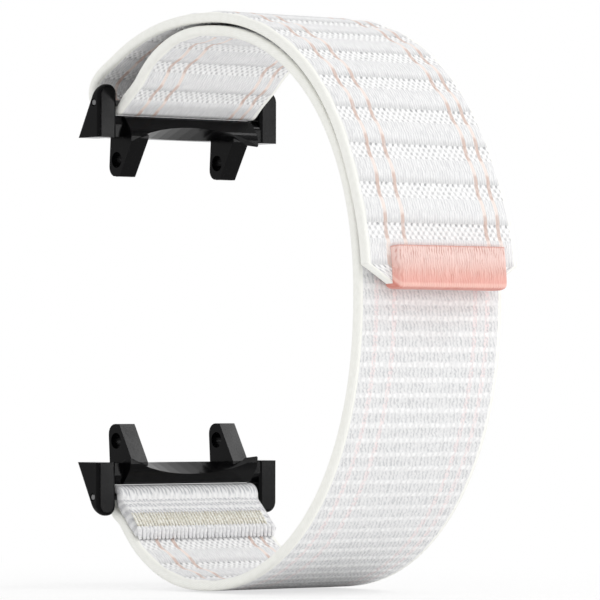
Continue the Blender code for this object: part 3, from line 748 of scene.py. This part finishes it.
def satinWrap():
    look = satin
    material, g, shader = newMaterial("coral satin thread", 0.42, sheen=0.2, specular=0.35)
    u, turn = g.weaveMap()
    across = g.times(u, 1000 * tab["width"])
    sway = g.grain(g.stretched(across, 0.7, turn, 9.0))
    bent = g.plus(across, sway, look["sway"])
    strands = g.wave(bent, 1000 * tab["thread"])
    fine = g.grain(g.stretched(bent, 7.0, turn, 5.0), detail=3.0, roughness=0.65)
    patches = g.grain(g.stretched(across, 1.4, turn, 12.0, 4.0))

    tone = g.plus(g.ramp(fine, *look["fineTone"]), strands, look["strandTone"])
    base = g.mix(tone, look["shade"], look["light"])
    base = g.mix(g.ramp(turn, *look["top"]), base, look["topTone"])
    outside = g.ramp(turn, *look["underside"])
    # Painted shade on the lower front, where the rounded underside turns away from the light.
    paintedRimShade = g.times(g.ramp(turn, *look["paintedRimShade"]), outside)
    base = g.mix(g.times(paintedRimShade, look["paintedRimShadeShare"]), base, look["paintedRimShadeTone"])
    # Painted highlight along the nose.
    paintedHighlight = g.times(g.ramp(turn, *look["paintedHighlightFrom"]), g.ramp(turn, *look["paintedHighlightTo"]))
    base = g.mix(g.times(paintedHighlight, look["paintedHighlightShare"]), base, look["paintedHighlightTone"])
    # Painted shade, a dark line where the nose turns under.
    paintedNoseShade = g.times(g.ramp(turn, *look["paintedNoseShade"]), outside)
    base = g.mix(g.times(paintedNoseShade, look["paintedNoseShadeShare"]), base, look["paintedNoseShadeTone"])
    gaps = g.times(g.ramp(strands, *look["gapFrom"]), g.ramp(turn, *look["gapsTo"]))
    gaps = g.times(gaps, g.ramp(patches, *look["gapPatches"]))
    base = g.mix(gaps, base, look["gapTone"])
    # Painted shade in the crease at the top edge of the wrap.
    paintedCreaseShade = g.ramp(turn, *look["paintedCreaseShade"])
    base = g.mix(g.times(paintedCreaseShade, look["paintedCreaseShadeShare"]), base, look["paintedCreaseShadeTone"])
    g.feed(shader.inputs["Base Color"], base)

    height = g.plus(g.times(fine, look["fineRise"]), strands, look["strandRise"])
    g.feed(shader.inputs["Normal"], g.bump(height, look["relief"], look["reliefShare"]))
    return material


plastic = {
    "dark": srgb(4, 4, 5), "light": srgb(8, 8, 9), "gloss": (0.3, 0.7, 0.16, 0.21),
    "grain": 9000.0, "smears": 260.0,
}
steel = {
    "dark": srgb(92, 92, 94), "light": srgb(136, 136, 136), "gloss": (0.2, 0.8, 0.28, 0.45),
    "rings": (300.0, 14000.0, 300.0),
}


def blackPlastic():
    material, g, shader = newMaterial("black moulded plastic", 0.2, specular=0.07)
    place = g.objectPlace()
    grain = g.grain(place, plastic["grain"], detail=3.0, roughness=0.6)
    smears = g.grain(place, plastic["smears"], detail=3.0)
    g.feed(shader.inputs["Base Color"], g.mix(smears, plastic["dark"], plastic["light"]))
    g.feed(shader.inputs["Roughness"], g.ramp(smears, *plastic["gloss"]))
    g.feed(shader.inputs["Normal"], g.bump(grain, 0.00001, 0.4))
    return material


def turnedSteel():
    material, g, shader = newMaterial("turned steel", 0.25, metallic=1.0)
    lines = g.grain(g.objectPlace(steel["rings"]), detail=3.0)
    g.feed(shader.inputs["Base Color"], g.mix(lines, steel["dark"], steel["light"]))
    g.feed(shader.inputs["Roughness"], g.ramp(lines, *steel["gloss"]))
    g.feed(shader.inputs["Normal"], g.bump(lines, 0.00001, 0.4))
    return material


def wrapOutline(frames, middle, half):  # point, heading, depth and reach past the tip
    place, direction = frames[-1]
    outline = [(*frames[0], -tab["clearance"], 0.0)]
    for p, d in frames:
        outline.append((p, d, -tab["front"], 0.0))
    for k in range(1, tab["noseSteps"]):
        angle = math.pi * k / tab["noseSteps"]
        across = math.copysign(abs(math.cos(angle)) ** (2 / tab["power"]), math.cos(angle))
        out = tab["nose"] * math.sin(angle) ** (2 / tab["power"])
        outline.append((place, direction, middle - half * across, out))
    for p, d in reversed(frames):
        outline.append((p, d, tab["back"], 0.0))
    outline.append((*frames[0], web["thick"] + tab["clearance"], 0.0))
    return outline


def coralWrap(material):
    bm = bmesh.new()
    uvLayer = bm.loops.layers.uv.new("weave")
    end = marks["end"]
    steps = tab["lengthSteps"]
    frames = [band.at(end - tab["length"] * (1 - k / steps)) for k in range(steps + 1)]
    middle = (tab["back"] - tab["front"]) / 2
    outline = wrapOutline(frames, middle, (tab["back"] + tab["front"]) / 2)
    columns = int(tab["width"] / tab["thread"] * tab["threadColumns"])
    scale, step, seed = tab["swayPlace"]
    rings = []
    for k in range(columns + 1):
        y = (k / columns - 0.5) * tab["width"]
        inward = max(0.0, abs(y) - (tab["width"] / 2 - tab["corner"])) / tab["corner"]
        pull = tab["corner"] * (1 - math.sqrt(max(0.0, 1 - inward * inward)))
        edge = min(1.0, (tab["width"] / 2 - abs(y)) / tab["round"])
        thin = tab["thin"] + (1 - tab["thin"]) * math.sqrt(max(0.0, 1 - (1 - edge) ** 2))
        ring = []
        for i, (p, d, deep, out) in enumerate(outline):
            sway = noise.noise(Vector((y * scale, i * step, seed))) * tab["sway"]
            ridge = abs(math.cos(math.pi * (y / tab["thread"] + sway))) ** tab["ridgePower"]
            local = (deep - middle) * thin
            bulge = tab["ridge"] * (ridge - 1)
            normalOut = math.copysign(1, local) if out == 0 else 0
            spot = p + rightOf(d) * (middle + local + normalOut * bulge)
            spot = spot + d * (out + (bulge if out else 0))
            share = min(1.0, (p - frames[0][0]).length / tab["length"])
            spot = spot - frames[-1][1] * pull * share ** 2
            ring.append(Vector((spot.x, y + tab["shift"], spot.y)))
        rings.append(ring)

    def uvOf(i, j, side):
        return i / columns, (j + side) / len(outline)

    rows = loft(bm, rings, uvLayer, uvOf, lambda j: 0)
    for ring in (rows[0], rows[-1]):
        bm.faces.new(ring)
    bmesh.ops.recalc_face_normals(bm, faces=bm.faces[:])
    piece = finishMesh("coral_wrap", bm, [material], sharp=60)
    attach(piece, "tail")
    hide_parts("end_tab")


threadSides = 7
endTaper = 0.14  # of a half turn, where a thread goes into the cloth


def tubes(name, paths, radius, material, flat):
    bm = bmesh.new()
    for path in paths:
        rows = []
        for i, point in enumerate(path):
            along = (path[min(i + 1, len(path) - 1)] - path[max(i - 1, 0)]).normalized()
            side = Vector((0, 1, 0)).cross(along).normalized()
            over = along.cross(side).normalized()
            share = endTaper + (1 - 2 * endTaper) * i / (len(path) - 1)
            taper = math.sin(math.pi * share) ** 0.5
            ring = []
            for k in range(threadSides):
                angle = 2 * math.pi * k / threadSides
                offset = side * math.cos(angle) * flat + over * math.sin(angle)
                ring.append(bm.verts.new(point + offset * radius * taper))
            rows.append(ring)
        for a, b in zip(rows, rows[1:]):
            for k in range(threadSides):
                j = (k + 1) % threadSides
                bm.faces.new((a[k], b[k], b[j], a[j]))
        bm.faces.new(rows[0])
        bm.faces.new(rows[-1])
    bmesh.ops.recalc_face_normals(bm, faces=bm.faces[:])
    return finishMesh(name, bm, [material])


def wristSide(length, height, y):
    place, direction = run.at(length)
    spot = place - rightOf(direction) * height
    return Vector((spot.x, y, spot.y))


seam = {
    "start": 0.0065, "end": 0.0039, "half": 0.0097, "thread": 0.00044, "radius": 0.00018,
    "flat": 0.8, "slant": 0.0002, "above": 0.00002, "rise": 0.00012, "shift": -0.0005,
    "wander": 0.00005, "wanderPlace": (3.1, 0.4), "steps": 8,
}
overlock = {  # over the cut end: length along the band and height, in millimetres
    "half": 0.0103, "thread": 0.00058, "radius": 0.00027, "flat": 0.9, "slant": 0.0006,
    "wander": 0.00007, "wanderPlace": (1.7, 2.2),
    "route": (
        (6.3, 1.38), (6.5, 1.42), (6.7, 1.34), (6.84, 1.02), (6.92, 0.66), (7.02, 0.36), (7.2, 0.22),
    ),
}


def acrossBand(row):  # where each thread of a row of stitches lies, a little unevenly
    step, seed = row["wanderPlace"]
    places = []
    for n in range(int(2 * row["half"] / row["thread"]) + 1):
        wander = noise.noise(Vector((n * step, seed, 0))) * row["wander"]
        places.append(-row["half"] + n * row["thread"] + wander)
    return places


def seamStitches(material):
    top = fold["clearance"] + web["thick"]
    paths = []
    for y in acrossBand(seam):
        path = []
        for i in range(seam["steps"] + 1):
            share = i / seam["steps"]
            length = seam["start"] + (seam["end"] - seam["start"]) * share
            lean = seam["slant"] * (0.5 - share)
            rise = seam["rise"] * math.sin(math.pi * share) ** 0.5
            path.append(wristSide(length, top + seam["above"] + rise, y - lean + seam["shift"]))
        paths.append(path)
    stitches = tubes("seam_stitches", paths, seam["radius"], material, seam["flat"])
    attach(stitches, "band")
    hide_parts("seam_thread")


def overlockStitches(material):
    last = len(overlock["route"]) - 1
    paths = []
    for y in acrossBand(overlock):
        path = []
        for i, (length, height) in enumerate(overlock["route"]):
            lean = (i / last - 0.5) * overlock["slant"]
            path.append(wristSide(length / 1000, height / 1000, y + lean))
        paths.append(path)
    stitches = tubes("overlock_stitches", paths, overlock["radius"], material, overlock["flat"])
    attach(stitches, "band")


hooks = {
    "startShare": 0.08, "tabGap": 0.0003, "inset": 0.0014, "near": 0.00119, "thick": 0.00013,
    "bevel": 0.0002, "bevelDeep": 0.00004, "stations": 40,
    "pitch": 0.00062, "flat": 0.7, "endRoom": 0.6, "sideRoom": 0.5, "stagger": 0.25, "spare": 1.4,
    "shape": (  # of one hook: along the band, away from the tape, half width
        (0.0, -0.00002, 0.00007), (0.00002, 0.00008, 0.00006),
        (0.00012, 0.00014, 0.00005), (0.0002, 0.0001, 0.00004),
    ),
}


def addHook(bm, place, direction, right, y, lean):
    rows = []
    for along, deep, size in hooks["shape"]:
        centre = place + direction * along * lean + right * (hooks["near"] + hooks["thick"] + deep)
        ring = []
        for dy, da in ((-1, -1), (1, -1), (1, 1), (-1, 1)):
            spot = centre + direction * da * size * hooks["flat"]
            ring.append(bm.verts.new((spot.x, y + dy * size, spot.y)))
        rows.append(ring)
    for a, b in zip(rows, rows[1:]):
        for k in range(4):
            bm.faces.new((a[k], a[(k + 1) % 4], b[(k + 1) % 4], b[k]))
    bm.faces.new(rows[-1])
    bm.faces.new(rows[0])


def hookTape(material):
    end = marks["end"] - tab["length"] - hooks["tabGap"]
    start = marks["side"] + (end - marks["side"]) * hooks["startShare"]
    half = web["half"] - hooks["inset"]
    near, far = hooks["near"], hooks["near"] + hooks["thick"]
    inner, low = half - hooks["bevel"], far - hooks["bevelDeep"]
    profile = [(-half, near), (half, near), (half, low), (inner, far), (-inner, far), (-half, low)]
    bm = bmesh.new()
    uvLayer = bm.loops.layers.uv.new("weave")
    rings = []
    count = hooks["stations"]
    for i in range(count + 1):
        place, direction = band.at(start + (end - start) * i / count)
        right = rightOf(direction)
        rings.append([placed(place, right, y, depth) for y, depth in profile])

    def uvOf(i, j, side):
        return j / len(profile), i / count

    rows = loft(bm, rings, uvLayer, uvOf, lambda j: 0)
    for ring in (rows[0], rows[-1]):
        bm.faces.new(ring)
    lengthwise = int((end - start) / hooks["pitch"]) - 1
    crosswise = int(2 * half / hooks["pitch"]) - 1
    for i in range(lengthwise + 1):
        share = (end - start) * (i + hooks["endRoom"]) / (lengthwise + 2 * hooks["endRoom"])
        place, direction = band.at(start + share)
        right = rightOf(direction)
        for j in range(crosswise + 1):
            column = j + hooks["sideRoom"] + hooks["stagger"] * (i % 2)
            y = -half + 2 * half * column / (crosswise + hooks["spare"])
            addHook(bm, place, direction, right, y, 1 if (i + j) % 2 else -1)
    bmesh.ops.recalc_face_normals(bm, faces=bm.faces[:])
    piece = finishMesh("hook_tape", bm, [material], sharp=50)
    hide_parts("hook_patch")
    return piece


# Each piece of webbing that crosses a bend: the reach each way of it at which blendAt reads the band;
# the piece is only baked in place, with no blend between the two bodies.
bendReach = {"root": 0.003, "crown": 0.004, "shoulder": 0.004, "side": 0.0035}


def blendAt(piece, mark):
    reach = bendReach[mark]
    before, after = band.at(marks[mark] - reach)[0], band.at(marks[mark] + reach)[0]
    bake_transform(piece)


def rowBetween(first, second):  # pieces meet in a sewn row
    length = (marks[first] + marks[second]) / 2
    return rowOrigin + round((length - rowOrigin) / web["pitch"]) * web["pitch"]


def bandPieces(face, loops, plainLoops, edge):
    crownCut = rowBetween("root", "crown")
    shoulderCut = rowBetween("crown", "shoulder")
    sideCut = rowBetween("shoulder", "side")
    sides = [face, plainLoops, plainLoops]
    doubled = webPiece("doubled_end", 0, marks["lowerBar"], sides, capStart=True)
    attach(doubled, "band")
    wrist = webPiece("wrist_run", marks["lowerBar"], marks["upperBar"], [face, loops, edge])
    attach(wrist, "band")
    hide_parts("inner_run")
    sides = [face, face, edge]
    turned = webPiece("turned_end", marks["upperBar"], crownCut, sides)
    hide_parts("upper_fold", "flap_crown")
    blendAt(turned, "root")
    shoulder = webPiece("top_run", crownCut, shoulderCut, sides)
    blendAt(shoulder, "crown")
    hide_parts("flap_shoulder")
    side = webPiece("side_run", shoulderCut, sideCut, sides)
    blendAt(side, "shoulder")
    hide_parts("flap_side")
    tail = webPiece("tail_run", sideCut, marks["end"], sides, capEnd=True)
    blendAt(tail, "side")
    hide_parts("flap_tail")


def repaint(node, material):
    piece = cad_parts[node]
    for place in piece.material_slots:
        place.material = material
    if not piece.material_slots:
        piece.data.materials.append(material)


light = {
    "world": 0.9, "background": 1.0, "floor": (0.97, 0.97, 0.97, 1), "floorDrop": 0.0002,
    "floorGlow": (0.03, 0.10, 0.7, 1.0),  # metres from the middle, and its share of plain white
}
lamps = {  # place, target, size, watts
    "overhead": ((0.28, -0.14, 0.38), (0, 0, 0), (0.3, 0.3), 0.04),
    "glint": ((0.35, 0.276, 0.01), (-0.02, 0, 0), (0.07, 0.12), 0.24),
    "kicker": ((0.165, 0.29, 0.28), (-0.02, 0, -0.017), (0.08, 0.08), 0.26),
}


def areaLamp(name, place, target, size, power):
    lamp = bpy.data.lights.new(name, "AREA")
    lamp.shape = "RECTANGLE"
    lamp.size, lamp.size_y = size
    lamp.energy = power
    holder = bpy.data.objects.new(name, lamp)
    holder.location = place
    holder.rotation_euler = (Vector(target) - Vector(place)).to_track_quat("-Z", "Y").to_euler()
    bpy.context.scene.collection.objects.link(holder)


def paleWorld():
    world = bpy.data.worlds.new("studio")
    bpy.context.scene.world = world
    world.use_nodes = True
    g = Graph(world.node_tree)
    background = world.node_tree.nodes["Background"]
    path = g.add("ShaderNodeLightPath")
    seen = g.maths("MAXIMUM", path.outputs["Is Camera Ray"], path.outputs["Is Transmission Ray"])
    seen = g.maths("MAXIMUM", seen, path.outputs["Is Glossy Ray"])
    background.inputs["Color"].default_value = plainWhite
    strength = g.ramp(seen, 0.0, 1.0, light["world"], light["background"])
    g.feed(background.inputs["Strength"], strength)


def paleFloor():
    bm = bmesh.new()
    bmesh.ops.create_grid(bm, x_segments=1, y_segments=1, size=3.0)
    material, g, shader = newMaterial("pale floor", 1.0, specular=0.0)
    shader.inputs["Base Color"].default_value = light["floor"]
    glow = g.add("ShaderNodeEmission")
    path = g.add("ShaderNodeLightPath")
    mixed = g.add("ShaderNodeMixShader")
    away = g.add("ShaderNodeVectorMath", operation="LENGTH")
    g.feed(away.inputs[0], g.objectPlace())
    pale = g.ramp(away.outputs["Value"], *light["floorGlow"])
    seen = g.maths("MAXIMUM", path.outputs["Is Camera Ray"], path.outputs["Is Glossy Ray"])
    g.feed(mixed.inputs[0], g.times(seen, pale))
    g.feed(mixed.inputs[1], shader.outputs[0])
    g.feed(mixed.inputs[2], glow.outputs[0])
    g.feed(material.node_tree.nodes["Material Output"].inputs[0], mixed.outputs[0])
    floor = finishMesh("floor", bm, [material])
    floor.location = (0, 0, cadBox[0].z - light["floorDrop"])


view = {
    "azimuth": 49.97, "elevation": -0.844, "roll": 0.099, "distance": 0.58843,
    "right": 0.001518, "down": 0.000087, "focal": 5037.3, "frame": 600, "sensor": 36,  # pixels, mm
}


def camera():
    azimuth, elevation = math.radians(view["azimuth"]), math.radians(view["elevation"])
    roll = math.radians(view["roll"])
    level = math.cos(elevation)
    back = Vector((math.sin(azimuth) * level, -math.cos(azimuth) * level, math.sin(elevation)))
    right = Vector((math.cos(azimuth), math.sin(azimuth), 0))
    up = back.cross(right)
    turnedRight = right * math.cos(roll) + up * math.sin(roll)
    turnedUp = up * math.cos(roll) - right * math.sin(roll)
    data = bpy.data.cameras.new("camera")
    data.sensor_width = view["sensor"]
    data.lens = view["focal"] / view["frame"] * view["sensor"]
    data.clip_start = 0.01
    holder = bpy.data.objects.new("camera", data)
    matrix = Matrix((turnedRight, turnedUp, back)).transposed().to_4x4()
    matrix.translation = back * view["distance"] + turnedRight * view["right"] - turnedUp * view["down"]
    holder.matrix_world = matrix
    bpy.context.scene.collection.objects.link(holder)
    bpy.context.scene.camera = holder


def main():
    bpy.context.scene.view_settings.view_transform = "Standard"
    camera()
    print("band")
    loops = loopedWebbing("looped nylon webbing", wristLoops)
    endLoops = loopedWebbing("looped webbing end", doubledLoops)
    bandPieces(ribbedWebbing(), loops, endLoops, selvedge())
    print("stitches")
    seamStitches(threadMaterial("beige thread", "beige"))
    overlockStitches(threadMaterial("white thread", "white"))
    print("wrap and hooks")
    coralWrap(satinWrap())
    tape = hookTape(threadMaterial("hook tape", "hooks"))
    blendAt(tape, "side")
    print("mouldings")
    moulded, turned = blackPlastic(), turnedSteel()
    for end in ("upper", "lower"):
        repaint(end + "_adapter", moulded)
        repaint(end + "_bar", turned)
    print("studio")
    paleWorld()
    paleFloor()
    for name, values in lamps.items():
        areaLamp(name, *values)


main()
bpy.context.view_layer.update()
